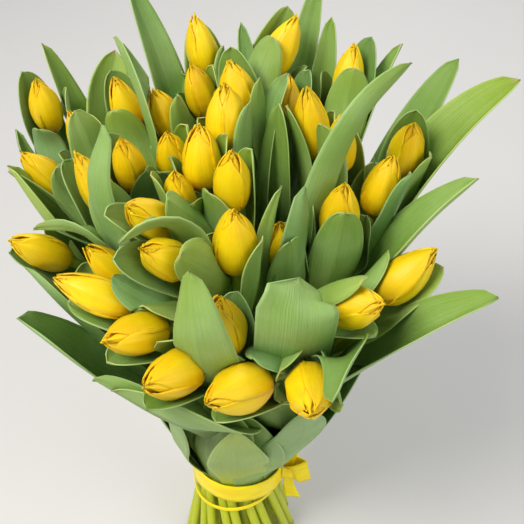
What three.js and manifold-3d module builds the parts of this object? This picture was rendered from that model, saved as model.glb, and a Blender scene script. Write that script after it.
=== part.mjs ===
// A hand-tied bunch of yellow tulips in millimetres, +Z up, standing on its cut stems.
// The origin is the middle of the cut end of the centre stem, on the surface the bunch stands on.
import * as THREE from "three";
import Module from "manifold-3d";

const wasm = await Module();
wasm.setup();

// ---- driving dimensions ----
const TIE_HEIGHT = 130; // the ribbon's middle above the cut ends
const RING_PITCH = 9.9; // between the rings of stems in the tie
const PAIR_PITCH = 7.6; // two stems pressed together in the tie
const STEM_RADIUS = 4.6;
const STEM_SIDES = 6;
const SPIRAL = THREE.MathUtils.degToRad(32); // turn of the stems from the tie to their feet
const SPLAY = 1.75; // how much wider the feet stand than the tie
const GAP = 0.3; // kept between separate pieces
const CLEAR = 0.6; // what a leaf is cut back to from a piece in its way
const BLADE_CLEAR = 3; // from the middle of a blade to the bud it lies against
const BEND_REACH = 6; // a blade is bent clear of a bud whose far side is this near
const BUD_LENGTH = 53;
const BUD_RADIUS = 13.6;
const LEAF_THICK = 1.8; // at the midrib, from where it thins to the edges
// slivers along the joints thinner than this are evened out, if the body stays whole
const SMOOTHED = [0.07, 0.05, 0.03];
// The ribbon's band and the cord below it. seat: from the outer stems to them, with room for the collar's leaf bases.
const BAND = { height: 24, thick: 1.2, sides: 28, below: 8, rightUp: -4.5, frontUp: 5, seat: 4.9 };
const CORD = { height: 4, thick: 1.6, sides: 28, below: 34, rightUp: 8, frontUp: 2, seat: 0.5 };
const BOW = { turn: -14, width: 26, knot: 10, loop: 24, tail: 36, thick: 1.2 };
const DOME_CENTRE = [-3, 12]; // the middle of the head, seen from above
const RINGS = [1, 6, 12, 18];

// Each tulip: where its bud starts (x, y, height), which way it leans out and how far from upright, in mm and
// degrees, and how long and how wide its bud is beside BUD_LENGTH and BUD_RADIUS.
const TULIPS = [
  [6, -50, 413, 271, 5, 1.05, 1.02],
  [1, -98, 387, 179, 3, 0.95, 0.95],
  [25, -112, 378, 228, 64, 1.08, 1.06],
  [52, -108, 380, 268, 66, 1.02, 1.0],
  [-17, -107, 385, 232, 62, 0.98, 1.0],
  [-39, -82, 392, 225, 62, 0.98, 0.92],
  [67, -72, 399, 318, 50, 0.95, 0.98],
  [102, -50, 385, 15, 44, 1.0, 0.92],
  [74, -12, 403, 300, 5, 1.06, 0.92],
  [102, 14, 408, 350, 10, 1.0, 0.9],
  [126, 55, 414, 287, 11, 0.95, 0.9],
  [62, 52, 428, 144, 10, 1.1, 0.86],
  [41, 80, 430, 80, 10, 0.9, 0.78],
  [85, 98, 446, 60, 12, 0.9, 0.75],
  [27, 112, 460, 20, 25, 1.0, 0.85],
  [11, 72, 446, 150, 14, 0.95, 0.95],
  [-1, 38, 446, 100, 10, 0.95, 1.0],
  [-21, 138, 448, 130, 14, 0.92, 0.8],
  [-19, 104, 430, 170, 14, 0.9, 0.8],
  [-39, 76, 428, 190, 20, 0.92, 0.85],
  [-18, 14, 431, 96, 3, 0.96, 0.92],
  [-39, 46, 416, 250, 12, 0.9, 0.85],
  [3, -12, 434, 281, 8, 1.0, 0.84],
  [-31, -2, 420, 250, 12, 0.85, 0.74],
  [-67, 30, 417, 227, 10, 0.95, 0.8],
  [-73, 84, 430, 170, 14, 0.9, 0.78],
  [-121, 42, 400, 185, 32, 0.98, 0.82],
  [-103, 66, 414, 160, 20, 0.9, 0.72],
  [-139, 96, 423, 234, 7, 0.95, 0.78],
  [-79, -2, 416, 155, 26, 1.05, 0.75],
  [-35, -34, 434, 225, 40, 0.95, 0.84],
  [-25, -66, 432, 228, 42, 0.92, 0.86],
  [-62, -40, 384, 189, 33, 1.02, 0.8],
  [-60, -72, 399, 177, 61, 1.02, 0.86],
  [-113, -14, 388, 216, 44, 1.0, 0.82],
  [37, -22, 392, 240, 10, 0.85, 0.78],
  [78, 26, 436, 120, 6, 0.85, 0.72],
];

const LEAF_OFF_STEM = 11; // from the middle of a stem to a blade that has left it
const CUP_OFF_BUD = 2.4; // from a bud to the middle of a leaf cupped round it
const CUP_SPREAD = 2.5; // how much farther off the tip of such a leaf stands

// Large leaves that stand out of the bunch: the tulip they belong to, how far above the tie they leave its stem,
// the middle of the blade, its tip, its width, how deep it is channelled, how far it is rolled on its length, and how
// blunt its tip is if it is blunt.
const BIG_LEAVES = [
  [17, 40, [-55, 132, 450], [-79, 160, 515], 41, 0.5, 20],
  [14, 40, [55, 142, 450], [67, 165, 515], 32, 0.6, 0],
  [13, 60, [72, 124, 457], [76, 145, 494], 29, 0.6, 0],
  [25, 30, [-63, 64, 464], [-80, 86, 508], 39, 0.7, 30],
  [25, 30, [-97, 108, 433], [-91, 136, 471], 58, 0.4, -10],
  [28, 40, [-131, 118, 438], [-144, 128, 481], 37, 0.6, 20],
  [28, 40, [-159, 74, 414], [-164, 84, 433], 27, 0.7, 0],
  [26, 30, [-139, 16, 412], [-154, 24, 443], 46, 0.6, 20],
  [29, 50, [-90, -16, 456], [-76, -10, 499], 49, 0.75, 20],
  [12, 60, [15, 104, 450], [7, 128, 498], 24, 0.6, 0],
  [13, 40, [109, 100, 450], [127, 116, 487], 32, 0.6, -20],
  [11, 30, [83, 4, 483], [119, 36, 516], 46, 0.6, -30],
  [10, 30, [144, 90, 432], [169, 110, 478], 44, 0.5, 0],
  [10, 20, [165, 62, 437], [208, 80, 478], 56, 0.7, 0, 3],
  [9, 20, [130, -16, 417], [166, -4, 453], 56, 0.6, 10],
  [7, 20, [130, -80, 388], [170, -78, 417], 54, 0.5, 20],
  [33, 20, [-115, -64, 348], [-142, -60, 378], 64, 0.4, 0, 4],
  [4, 20, [-50, -116, 349], [-84, -108, 373], 49, 0.5, 10],
  [34, 20, [-114, -50, 379], [-137, -36, 402], 32, 0.7, 0],
  [34, 50, [-93, -28, 422], [-132, -16, 420], 29, 0.7, 0],
  [31, 40, [-33, -66, 464], [-60, -84, 467], 41, 0.5, 20],
  [6, 30, [44, -116, 435], [44, -98, 453], 50, 0.16, 0, 12],
  [1, 30, [-14, -126, 429], [-17, -112, 472], 46, 0.4, 0],
  [3, 40, [75, -116, 404], [62, -156, 412], 44, 0.4, 0],
  [12, 50, [37, 44, 442], [35, 52, 476], 40, 0.5, 0],
  [16, 50, [29, 62, 456], [41, 78, 484], 37, 0.5, -20],
  [35, 30, [50, -30, 434], [50, -22, 460], 38, 0.4, 0, 4],
  [35, 30, [29, -34, 437], [35, -26, 464], 28, 0.5, 15],
];

// Every tulip also has two or three leaves cupped round its bud, on the sides where the buds leave most room: how far
// the tip passes the bud's base, the width, how far below the bud the leaf leaves the stem, and how far outside the
// first leaf it lies.
const CUPPED = [
  { past: 38, width: 36, drop: 70, outside: 0 },
  { past: 22, width: 34, drop: 58, outside: 3.2 },
  { past: 8, width: 30, drop: 46, outside: 6.4 },
];
const CUP_TURNS = 12; // the sides of a bud that are tried
const CUP_APART = 100; // degrees between the leaves of one bud
const CUP_CHANNEL = 0.34;

// Every pair of outer stems has a broad leaf laid on it under the ribbon: the collar the bunch rises from.
// Its line: heights above the tie, and how far outside the middle of its stem.
const COLLAR = {
  line: [[-26, 3.4], [-16, 6.9], [8, 8.8], [34, 12.5], [85, 24], [160, 32], [245, 30]],
  width: 48,
  channel: 0.18,
  layer: 4,
};

const GREEN = { color: 0x6f9a4e, roughness: 0.55, metalness: 0 };
const YELLOW = { color: 0xf6c800, roughness: 0.5, metalness: 0 };
const RIBBON = { color: 0xf7d90f, roughness: 0.45, metalness: 0 };

// ---- small helpers ----
const V = (x, y, z) => new THREE.Vector3(x, y, z);
const rad = THREE.MathUtils.degToRad;
const leaning = (turn, lean) =>
  V(Math.cos(rad(turn)) * Math.sin(rad(lean)), Math.sin(rad(turn)) * Math.sin(rad(lean)), Math.cos(rad(lean)));

// A closed solid from rings of points, each with as many points as the last, or a single one where it runs out.
// Its ends are flat, or it runs on from the last ring into the first. The two faces of a blade are split into triangles
// alike, so that they never cross where it twists.
function skin(rings, { closed = false, blade = false } = {}) {
  const position = [];
  const starts = [];
  const faces = [];
  for (const ring of rings) {
    starts.push(position.length);
    position.push(...ring);
  }
  rings.slice(closed ? 0 : 1).forEach((_, k) => {
    const next = (k + 1) % rings.length;
    const [a, b] = [starts[k], starts[next]];
    const [na, nb] = [rings[k].length, rings[next].length];
    const n = Math.max(na, nb);
    for (let i = 0; i < n; i++) {
      const j = (i + 1) % n;
      if (nb === 1) faces.push([a + i, a + j, b]);
      else if (na === 1) faces.push([a, b + j, b + i]);
      else if (blade && i >= n / 2) faces.push([a + i, a + j, b + i], [a + j, b + j, b + i]);
      else faces.push([a + i, a + j, b + j], [a + i, b + j, b + i]);
    }
  });
  const cap = (start, n, flip) => {
    for (let i = 1; i < n - 1; i++) {
      faces.push(flip ? [start, start + i + 1, start + i] : [start, start + i, start + i + 1]);
    }
  };
  if (!closed && rings[0].length > 1) cap(starts[0], rings[0].length, true);
  if (!closed && rings.at(-1).length > 1) cap(starts.at(-1), rings.at(-1).length, false);
  const made = solid(position, faces);
  return made.volume() < 0 ? solid(position, faces.map(([a, b, c]) => [a, c, b])) : made;
}

function solid(points, faces) {
  const made = new wasm.Manifold(
    new wasm.Mesh({
      numProp: 3,
      vertProperties: new Float32Array(points.flatMap((p) => [p.x, p.y, p.z])),
      triVerts: new Uint32Array(faces.flat()),
    }),
  );
  return made;
}

function meshOf(name, made, look) {
  const biggest = made.decompose().reduce((a, b) => (a.volume() > b.volume() ? a : b));
  const m = biggest.getMesh();
  const geometry = new THREE.BufferGeometry();
  const xyz = new Float32Array(m.numVert * 3);
  for (let i = 0; i < m.numVert; i++) xyz.set(m.vertProperties.subarray(i * m.numProp, i * m.numProp + 3), i * 3);
  geometry.setAttribute("position", new THREE.BufferAttribute(xyz, 3));
  geometry.setIndex(new THREE.BufferAttribute(m.triVerts, 1));
  geometry.computeVertexNormals();
  const mesh = new THREE.Mesh(geometry, new THREE.MeshStandardMaterial(look));
  mesh.name = name;
  return mesh;
}

// Whether every edge has just two faces, also where two corners fall on the same point.
function cleanlyClosed(made) {
  const { numProp, vertProperties, triVerts } = made.getMesh();
  const corner = (v) => [0, 1, 2].map((k) => vertProperties[v * numProp + k].toFixed(3)).join();
  const facesOf = new Map();
  for (let t = 0; t < triVerts.length; t += 3) {
    const corners = [0, 1, 2].map((k) => corner(triVerts[t + k]));
    corners.forEach((from, k) => {
      const edge = [from, corners[(k + 1) % 3]].sort().join(" ");
      facesOf.set(edge, (facesOf.get(edge) ?? 0) + 1);
    });
  }
  return [...facesOf.values()].every((count) => count === 2);
}

function evenedOut(made) {
  const tries = SMOOTHED.map((amount) => made.asOriginal().simplify(amount));
  return tries.find(cleanlyClosed) ?? made;
}

// A blade cut back from what lies in its way: the piece that holds most of it stays.
function clearOf(blade, others) {
  const box = blade.boundingBox();
  let left = blade;
  for (const other of others) if (boxesMeet(box, other.boundingBox())) left = left.subtract(other);
  if (left.isEmpty()) return left;
  const biggest = left.decompose().reduce((a, b) => (a.volume() > b.volume() ? a : b));
  return biggest;
}

const joined = (solids) => wasm.Manifold.union(solids);
const boxesMeet = (a, b) =>
  [0, 1, 2].every((k) => a.min[k] <= b.max[k] && b.min[k] <= a.max[k]);

// ---- where each stem passes through the tie ----
// The tulip nearest the middle of the head takes the middle of the tie, and the rest fill the rings outwards,
// each ring in order round the bunch, so that the stems fan out without crossing.
function tieSlots() {
  const rows = TULIPS.map(([x, y], index) => ({
    index,
    far: Math.hypot(x - DOME_CENTRE[0], (y - DOME_CENTRE[1]) * 1.05),
    turn: Math.atan2(y - DOME_CENTRE[1], x - DOME_CENTRE[0]),
  })).sort((a, b) => a.far - b.far);
  const slots = [];
  let from = 0;
  RINGS.forEach((count, ring) => {
    const members = rows.slice(from, from + count).sort((a, b) => a.turn - b.turn);
    from += count;
    const radius = ring * RING_PITCH;
    const pairTurn = ring ? Math.asin(PAIR_PITCH / 2 / radius) : 0;
    const turnOf = (i) => {
      const pair = Math.floor(i / 2);
      return ((pair + 0.5) * 4 * Math.PI) / count + (i % 2 ? pairTurn : -pairTurn);
    };
    // the whole ring is turned so that its slots lie under its tulips
    const sum = new THREE.Vector2();
    members.forEach((m, i) => sum.add(new THREE.Vector2(Math.cos(m.turn - turnOf(i)), Math.sin(m.turn - turnOf(i)))));
    const shift = sum.angle();
    members.forEach((m, i) => {
      const turn = turnOf(i) + shift;
      const pair = Math.floor(i / 2) + 1;
      slots[m.index] = { x: radius * Math.cos(turn), y: radius * Math.sin(turn), pair: `${ring}_${pair}` };
      if (ring === RINGS.length - 1 && i % 2) slots[m.index].collar = pair;
    });
  });
  return slots;
}
const SLOTS = tieSlots();

const budAxis = TULIPS.map(([, , , turn, lean]) => leaning(turn, lean));
const budBase = TULIPS.map(([x, y, z]) => V(x, y, z));

// The line of a stem from its foot, through the tie, to its bud.
function stemLine(i) {
  const slot = SLOTS[i];
  const tie = V(slot.x, slot.y, TIE_HEIGHT);
  const foot = V(
    SPLAY * (slot.x * Math.cos(SPIRAL) - slot.y * Math.sin(SPIRAL)),
    SPLAY * (slot.x * Math.sin(SPIRAL) + slot.y * Math.cos(SPIRAL)),
    0,
  );
  const top = budBase[i];
  const reach = top.distanceTo(tie);
  const outward = V(slot.x * 0.25, slot.y * 0.25, 60).normalize();
  const upper = new THREE.CubicBezierCurve3(
    tie,
    tie.clone().addScaledVector(outward, reach * 0.42),
    top.clone().addScaledVector(budAxis[i], -reach * 0.24),
    top,
  );
  return { foot, tie, upper };
}
const LINES = TULIPS.map((_, i) => stemLine(i));

function ringRound(centre, tangent, radius, sides) {
  const side = V(1, 0, 0).addScaledVector(tangent, -tangent.x).normalize();
  const other = new THREE.Vector3().crossVectors(tangent, side);
  return Array.from({ length: sides }, (_, k) => {
    const a = (2 * Math.PI * k) / sides;
    return centre.clone().addScaledVector(side, radius * Math.cos(a)).addScaledVector(other, radius * Math.sin(a));
  });
}

const UPPER_STEPS = [0, 0.24, 0.5, 0.78, 1];
function stem(i, grow = 0) {
  const { foot, upper } = LINES[i];
  const radius = STEM_RADIUS + grow;
  const footRing = ringRound(foot, V(0, 0, 1), radius, STEM_SIDES);
  footRing.forEach((p) => (p.z = -grow));
  const rings = [footRing];
  for (const t of UPPER_STEPS) {
    const end = t === 1 ? GAP - grow * 3 : 0;
    const centre = upper.getPoint(t).addScaledVector(budAxis[i], -end);
    rings.push(ringRound(centre, upper.getTangent(t), radius, STEM_SIDES));
  }
  return skin(rings);
}

// How far the outermost stem reaches from the axis at a height near the tie.
function bundleRadius(z) {
  const reach = LINES.map(({ foot, tie, upper }) => {
    const above = upper.getPoint(UPPER_STEPS[1]);
    const [from, to] = z < TIE_HEIGHT ? [foot, tie] : [tie, above];
    const at = from.clone().lerp(to, (z - from.z) / (to.z - from.z));
    return Math.hypot(at.x, at.y);
  });
  return Math.max(...reach) + STEM_RADIUS;
}

// ---- a bud: three petals outside and three between them, wrapped closed, with six free tips ----
// Rows up the bud: share of its length, and its radius there as a share of the widest.
const BUD_ROWS = [[0, 0.42], [0.18, 0.88], [0.44, 1], [0.76, 0.64]];
const PETAL_LAP = 1.1; // how far an outer petal stands over the edge of an inner one
const MIDDLE = 0.88; // height of the low point between the tips
const TIP_SHARE = 0.26; // the radius at the tips

function budShare(t) {
  const rows = [...BUD_ROWS, [1, TIP_SHARE]];
  const above = Math.max(1, rows.findIndex(([at]) => at >= t));
  const [[t0, r0], [t1, r1]] = [rows[above - 1], rows[above]];
  return THREE.MathUtils.lerp(r0, r1, THREE.MathUtils.clamp((t - t0) / (t1 - t0), 0, 1));
}

// Where a point of a blade comes to lie when a bud is in its way: over the bud, on the side where its midrib is.
function bentClear(point, midrib) {
  TULIPS.forEach(([, , , , , size, girth], i) => {
    const [base, axis] = [budBase[i], budAxis[i]];
    const along = point.clone().sub(base).dot(axis);
    const share = along / (BUD_LENGTH * size);
    if (share < -0.15 || share > 1.12) return;
    const radius = BUD_RADIUS * girth * budShare(share) + BLADE_CLEAR;
    const away = midrib.clone().sub(base);
    away.addScaledVector(axis, -away.dot(axis)).normalize();
    const sideways = new THREE.Vector3().crossVectors(axis, away);
    const offset = point.clone().sub(base).addScaledVector(axis, -along);
    const beside = offset.dot(sideways);
    if (Math.abs(beside) >= radius) return;
    const needed = Math.sqrt(radius * radius - beside * beside);
    const out = offset.dot(away);
    if (out < needed && out > -needed - BEND_REACH) point.addScaledVector(away, needed - out);
  });
  return point;
}

function bud(i, grow = 0) {
  const [, , , turn, , size, girth] = TULIPS[i];
  const radius = BUD_RADIUS * girth;
  const length = BUD_LENGTH * size;
  const spin = rad(turn + i * 47);
  // twelve points round: the left edge, middle and right edge of an outer petal, then the middle of an inner one
  const outlineTurn = [-44, 0, 44, 60];
  const outlineStep = [PETAL_LAP, PETAL_LAP + 0.6, PETAL_LAP, -0.4];
  const ringAt = (share, z) =>
    Array.from({ length: 12 }, (_, k) => {
      const angle = spin + rad(120 * Math.floor(k / 4) + outlineTurn[k % 4]);
      const r = radius * share + outlineStep[k % 4] * Math.min(1, share * 1.2) + grow;
      return V(r * Math.cos(angle), r * Math.sin(angle), z);
    });
  const rows = BUD_ROWS.map(([t, share], k) => ringAt(share, k ? t * length : -grow));
  const points = rows.flat();
  const faces = [];
  for (let row = 0; row < rows.length - 1; row++)
    for (let k = 0; k < 12; k++) {
      const [here, next] = [row * 12, (row + 1) * 12];
      const [a, b, c, d] = [here + k, here + ((k + 1) % 12), next + ((k + 1) % 12), next + k];
      faces.push([a, b, c], [a, c, d]);
    }
  for (let k = 1; k < 11; k++) faces.push([0, k + 1, k]);
  // each tip rises from two neighbouring stretches of the rim and falls to the middle
  const rim = rows.at(-1);
  const rimAt = (k) => (rows.length - 1) * 12 + (k % 12);
  const middle = points.push(V(0, 0, MIDDLE * length + grow)) - 1;
  for (let petal = 0; petal < 6; petal++) {
    const k = petal * 2;
    const outer = petal % 2 === 0;
    const tipHeight = length * (outer ? 0.95 + 0.02 * (petal % 3) : 1) + 3 * grow;
    const tipAt = rim[(k + 1) % 12].clone().multiplyScalar(outer ? 0.42 : 0.3).setZ(tipHeight);
    const tip = points.push(tipAt) - 1;
    faces.push([rimAt(k), rimAt(k + 1), tip], [rimAt(k + 1), rimAt(k + 2), tip]);
    faces.push([rimAt(k), tip, middle], [tip, rimAt(k + 2), middle]);
  }
  const turned = new THREE.Quaternion().setFromUnitVectors(V(0, 0, 1), budAxis[i]);
  return solid(points, faces).transform(new THREE.Matrix4().compose(budBase[i], turned, V(1, 1, 1)).elements);
}

// ---- a leaf: a channelled blade along a curve, widest past its middle, running out to a point ----
const LEAF_STATIONS = [0, 0.28, 0.6, 0.87];
const CUPPED_STATIONS = [0, 0.35, 0.75];
const COLLAR_STATIONS = [0, 0.1, 0.2, 0.34, 0.6, 0.88];
const ROOT_SINK = 3.4; // a leaf's root lies this far from its stem's middle, so that its midrib is sunk in the stem
// Its half width at a share of its length. A root with a low rise spreads at once, and a blunt tip stays wide.
function leafWidth(t, rise = 1, blunt = 2) {
  if (t < 0.6) return 0.14 + 0.86 * Math.sin((Math.PI / 2) * (t / 0.6)) ** rise;
  return Math.sqrt(1 - ((t - 0.6) / 0.4) ** blunt);
}

function leaf({ points, facing, width, channel, roll = 0, rise = 1, blunt = 2, stations = LEAF_STATIONS, grow = 0 }) {
  const curve = new THREE.CatmullRomCurve3(points, false, "centripetal");
  const rings = stations.map((t) => {
    const centre = curve.getPointAt(t);
    const along = curve.getTangentAt(t);
    const face = facing.clone().addScaledVector(along, -facing.dot(along)).normalize();
    face.applyAxisAngle(along, rad(roll) * t);
    const across = new THREE.Vector3().crossVectors(along, face);
    const half = (width / 2) * leafWidth(t, rise, blunt) + grow;
    const lift = half * channel;
    const spread = half * Math.sqrt(1 - channel * channel * 0.6);
    const thick = LEAF_THICK / 2 + grow;
    const edge = grow;
    const at = (u, up) => bentClear(centre.clone().addScaledVector(across, u).addScaledVector(face, up), centre);
    const [left, right] = [-spread, spread].map((u) => {
      const rim = at(u, lift);
      return edge ? [rim.clone().addScaledVector(face, edge), rim.clone().addScaledVector(face, -edge)] : [rim];
    });
    const midrib = at(0, 0);
    const [under, over] = [-thick, thick].map((up) => midrib.clone().addScaledVector(face, up));
    return [...left, under, ...right.reverse(), over];
  });
  rings.push([curve.getPointAt(1).addScaledVector(curve.getTangentAt(1), grow)]);
  return skin(rings, { blade: true });
}

function pointOnStem(i, aboveTie) {
  const { foot, tie, upper } = LINES[i];
  if (aboveTie < 0) return tie.clone().lerp(foot, -aboveTie / TIE_HEIGHT);
  return upper.getPointAt(Math.min(0.97, aboveTie / upper.getLength()));
}

function bigLeaf([i, above, middle, tip, width, channel, roll, blunt], grow) {
  const root = pointOnStem(i, above);
  const next = pointOnStem(i, above + 60);
  const out = V(middle[0] - next.x, middle[1] - next.y, 0).normalize();
  root.addScaledVector(out, ROOT_SINK);
  next.addScaledVector(out, LEAF_OFF_STEM);
  const facing = V(-out.x, -out.y, 0.55).normalize();
  return leaf({ points: [root, next, V(...middle), V(...tip)], facing, width, channel, roll, blunt, grow });
}

// How far a point lies from the nearest bud but its own.
function roomAt(point, i) {
  const gaps = TULIPS.map(([, , , , , size, girth], j) => {
    if (j === i) return Infinity;
    const along = THREE.MathUtils.clamp(point.clone().sub(budBase[j]).dot(budAxis[j]), 0, BUD_LENGTH * size);
    return point.distanceTo(budBase[j].clone().addScaledVector(budAxis[j], along)) - BUD_RADIUS * girth;
  });
  return Math.min(...gaps);
}

// The line of a leaf cupped round a bud, on the side that turn gives.
function cuppedLine(i, turn, { past, drop, outside }) {
  const { upper } = LINES[i];
  const length = upper.getLength();
  const axis = budAxis[i];
  const flat = V(Math.cos(turn), Math.sin(turn), 0);
  const out = flat.addScaledVector(axis, -flat.dot(axis)).normalize();
  const clear = BUD_RADIUS * TULIPS[i][6] + CUP_OFF_BUD;
  const points = [
    upper.getPointAt(1 - drop / length).addScaledVector(out, ROOT_SINK),
    upper.getPointAt(1 - (drop * 0.5) / length).addScaledVector(out, LEAF_OFF_STEM + 2 * outside),
    budBase[i].clone().addScaledVector(axis, 4).addScaledVector(out, clear + outside),
    budBase[i].clone().addScaledVector(axis, past + ((i * 17) % 16)).addScaledVector(out, clear + CUP_SPREAD + outside),
  ];
  return { points, out, room: Math.min(roomAt(points[2], i), roomAt(points[3], i)) };
}

function cuppedLeaves(i) {
  const sides = Array.from({ length: CUP_TURNS }, (_, k) => {
    const turn = rad(TULIPS[i][3] + (360 * k) / CUP_TURNS);
    return { k, room: cuppedLine(i, turn, CUPPED[0]).room };
  }).sort((a, b) => b.room - a.room);
  const apart = (a, b) => {
    const steps = Math.abs(a - b) % CUP_TURNS;
    return (Math.min(steps, CUP_TURNS - steps) * 360) / CUP_TURNS;
  };
  const taken = [];
  for (const { k } of sides) {
    if (taken.length < (i % 6 ? 2 : 3) && taken.every((t) => apart(t, k) >= CUP_APART)) taken.push(k);
  }
  return taken.map((k, n) => {
    const { points, out } = cuppedLine(i, rad(TULIPS[i][3] + (360 * k) / CUP_TURNS), CUPPED[n]);
    const facing = out.clone().negate();
    return { points, facing, width: CUPPED[n].width, channel: CUP_CHANNEL, stations: CUPPED_STATIONS };
  });
}

function collarLeaf(i, pairIndex, grow) {
  const points = COLLAR.line.map(([above, far]) => {
    const p = pointOnStem(i, above);
    const layered = far + (above > 20 ? (pairIndex % 2) * COLLAR.layer : 0);
    return p.addScaledVector(V(p.x, p.y, 0).normalize(), layered);
  });
  const facing = V(-points[2].x, -points[2].y, 0).normalize();
  const { width, channel } = COLLAR;
  return leaf({ points, facing, width, channel, rise: 0.5, stations: COLLAR_STATIONS, grow });
}

// ---- the tie: a flat ribbon round the stems, a thin cord below it, and the ribbon's bow ----
function hoop({ height, thick, sides, below, rightUp, frontUp, seat }, grow = 0) {
  const loop = Array.from({ length: sides }, (_, k) => {
    const angle = (2 * Math.PI * k) / sides;
    const [c, s] = [Math.cos(angle), Math.sin(angle)];
    const z = TIE_HEIGHT - below + rightUp * c - frontUp * s;
    const widest = Math.max(bundleRadius(z - height / 2), bundleRadius(z + height / 2));
    const inner = (widest + seat) / Math.cos(Math.PI / sides) - grow;
    const outer = inner + thick + 2 * grow;
    const half = height / 2 + grow;
    const corners = [[inner, -half], [outer, -half], [outer, half], [inner, half]];
    return corners.map(([r, up]) => V(r * c, r * s, z + up));
  });
  return skin(loop, { closed: true });
}

// A length of flat ribbon along a run of points, its width across the way it faces.
function strip(points, widths, facing, thick, grow = 0) {
  const curve = new THREE.CatmullRomCurve3(points, false, "centripetal");
  const steps = widths.length - 1;
  const rings = widths.map((width, k) => {
    const centre = curve.getPoint(k / steps);
    const along = curve.getTangent(k / steps);
    const across = new THREE.Vector3().crossVectors(along, facing).normalize();
    const face = new THREE.Vector3().crossVectors(across, along).normalize();
    const at = (u, v) => centre.clone().addScaledVector(across, u).addScaledVector(face, v);
    const [w, h] = [width / 2 + grow, thick / 2 + grow];
    return [at(-w, -h), at(w, -h), at(w, h), at(-w, h)];
  });
  return skin(rings);
}

function bow(grow = 0) {
  const turn = rad(BOW.turn);
  const z = TIE_HEIGHT - BAND.below + BAND.rightUp * Math.cos(turn) - BAND.frontUp * Math.sin(turn);
  const seat = (bundleRadius(z - BAND.height / 2) + BAND.seat) / Math.cos(Math.PI / BAND.sides) + BAND.thick + GAP;
  // out: away from the stems, side: along the band, and up
  const out = V(Math.cos(turn), Math.sin(turn), 0);
  const side = V(-out.y, out.x, 0);
  const at = (o, s, u) => V(0, 0, z + u).addScaledVector(out, seat + o).addScaledVector(side, s);
  const { knot, width, loop, tail, thick } = BOW;
  const half = knot / 2;
  const ribbon = (points, widths, facing) => strip(points, widths, facing, thick, grow);
  return joined([
    strip([at(half, -half, 0), at(half, half, 0)], [width * 0.7, width * 0.7], out, knot, grow),
    // one loop to the right, out along its front and back behind, and one towards the back
    ribbon([at(half, -1, 1), at(loop * 0.55, -5, 4), at(loop, 0, 6)], [width * 0.5, width, width * 1.1], side),
    ribbon([at(half, 1, 1), at(loop * 0.55, 5, 4), at(loop + 0.3, 0.2, 6)], [width * 0.5, width, width * 1.1], side),
    ribbon([at(half + 1, 1, 1), at(half + 6, 14, 3), at(half, 25, 4)], [width * 0.5, width, width], out),
    ribbon([at(half - 2, 1.4, 1), at(half - 3, 14, 3), at(half, 25, 4)], [width * 0.5, width, width], out),
    ribbon([at(half, -2, -2), at(half + 2, -4, -tail * 0.55), at(half + 6, -5, -tail)], [7, 11, 15], side),
    ribbon([at(half, 1, 2), at(half + 5, 3, 32), at(half + 16, 5, 78)], [7, 7, 7], side),
  ]);
}

// ---- put together ----
const group = new THREE.Group();

const buds = TULIPS.map((_, i) => bud(i));
const fatBuds = TULIPS.map((_, i) => bud(i, CLEAR));

const leavesOf = (i, grow) => [
  ...BIG_LEAVES.filter((row) => row[0] === i).map((row) => bigLeaf(row, grow)),
  ...cuppedLeaves(i).map((row) => leaf({ ...row, grow })),
  ...(SLOTS[i].collar === undefined ? [] : [collarLeaf(i, SLOTS[i].collar, grow)]),
];

const pairs = new Map();
SLOTS.forEach((slot, i) => pairs.set(slot.pair, [...(pairs.get(slot.pair) ?? []), i]));
const greens = [...pairs.entries()].sort((a, b) => (a[0] < b[0] ? 1 : -1)).map(([pair, members]) => ({
  name: `leafy_stems_${pair}`,
  members,
  stems: joined(members.map((i) => stem(i))),
  fatStems: joined(members.map((i) => stem(i, CLEAR))),
  leaves: members.flatMap((i) => leavesOf(i, 0)),
  fatLeaves: joined(members.flatMap((i) => leavesOf(i, CLEAR))),
}));

const fatTie = joined([hoop(BAND, CLEAR), hoop(CORD, CLEAR), bow(CLEAR)]);

greens.forEach((green, k) => {
  const inTheWay = [
    ...fatBuds,
    fatTie,
    ...greens.filter((g) => g !== green).map((g) => g.fatStems),
    ...greens.slice(0, k).map((g) => g.fatLeaves),
  ];
  const kept = green.leaves.map((blade) => clearOf(blade, inTheWay));
  group.add(meshOf(green.name, evenedOut(joined([green.stems, ...kept])), GREEN));
});
buds.forEach((made, i) => group.add(meshOf(`bloom_${String(i + 1).padStart(2, "0")}`, made, YELLOW)));
group.add(meshOf("ribbon_band", hoop(BAND), RIBBON));
group.add(meshOf("ribbon_cord", hoop(CORD), RIBBON));
group.add(meshOf("ribbon_bow", bow(), RIBBON));

export default group;
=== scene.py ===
import math
import random

import bmesh
import bpy
from mathutils import Matrix, Vector


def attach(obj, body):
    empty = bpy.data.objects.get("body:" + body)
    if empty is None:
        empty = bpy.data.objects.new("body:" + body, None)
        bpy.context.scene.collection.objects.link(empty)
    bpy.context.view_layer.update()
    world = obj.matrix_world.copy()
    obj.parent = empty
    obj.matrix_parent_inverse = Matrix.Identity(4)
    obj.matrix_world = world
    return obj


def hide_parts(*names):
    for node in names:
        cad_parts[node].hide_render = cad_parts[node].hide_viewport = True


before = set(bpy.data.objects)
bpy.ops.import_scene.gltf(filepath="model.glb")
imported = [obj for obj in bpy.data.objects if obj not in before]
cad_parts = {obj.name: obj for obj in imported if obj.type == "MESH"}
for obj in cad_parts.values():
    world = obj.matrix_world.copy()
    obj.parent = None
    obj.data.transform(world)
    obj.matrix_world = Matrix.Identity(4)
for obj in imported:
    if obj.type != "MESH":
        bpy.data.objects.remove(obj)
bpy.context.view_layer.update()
mm = 0.001
anyPhase = 6.28  # about a full turn, for waves that start anywhere
print("frame loaded:", len(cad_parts), "nodes")

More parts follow.
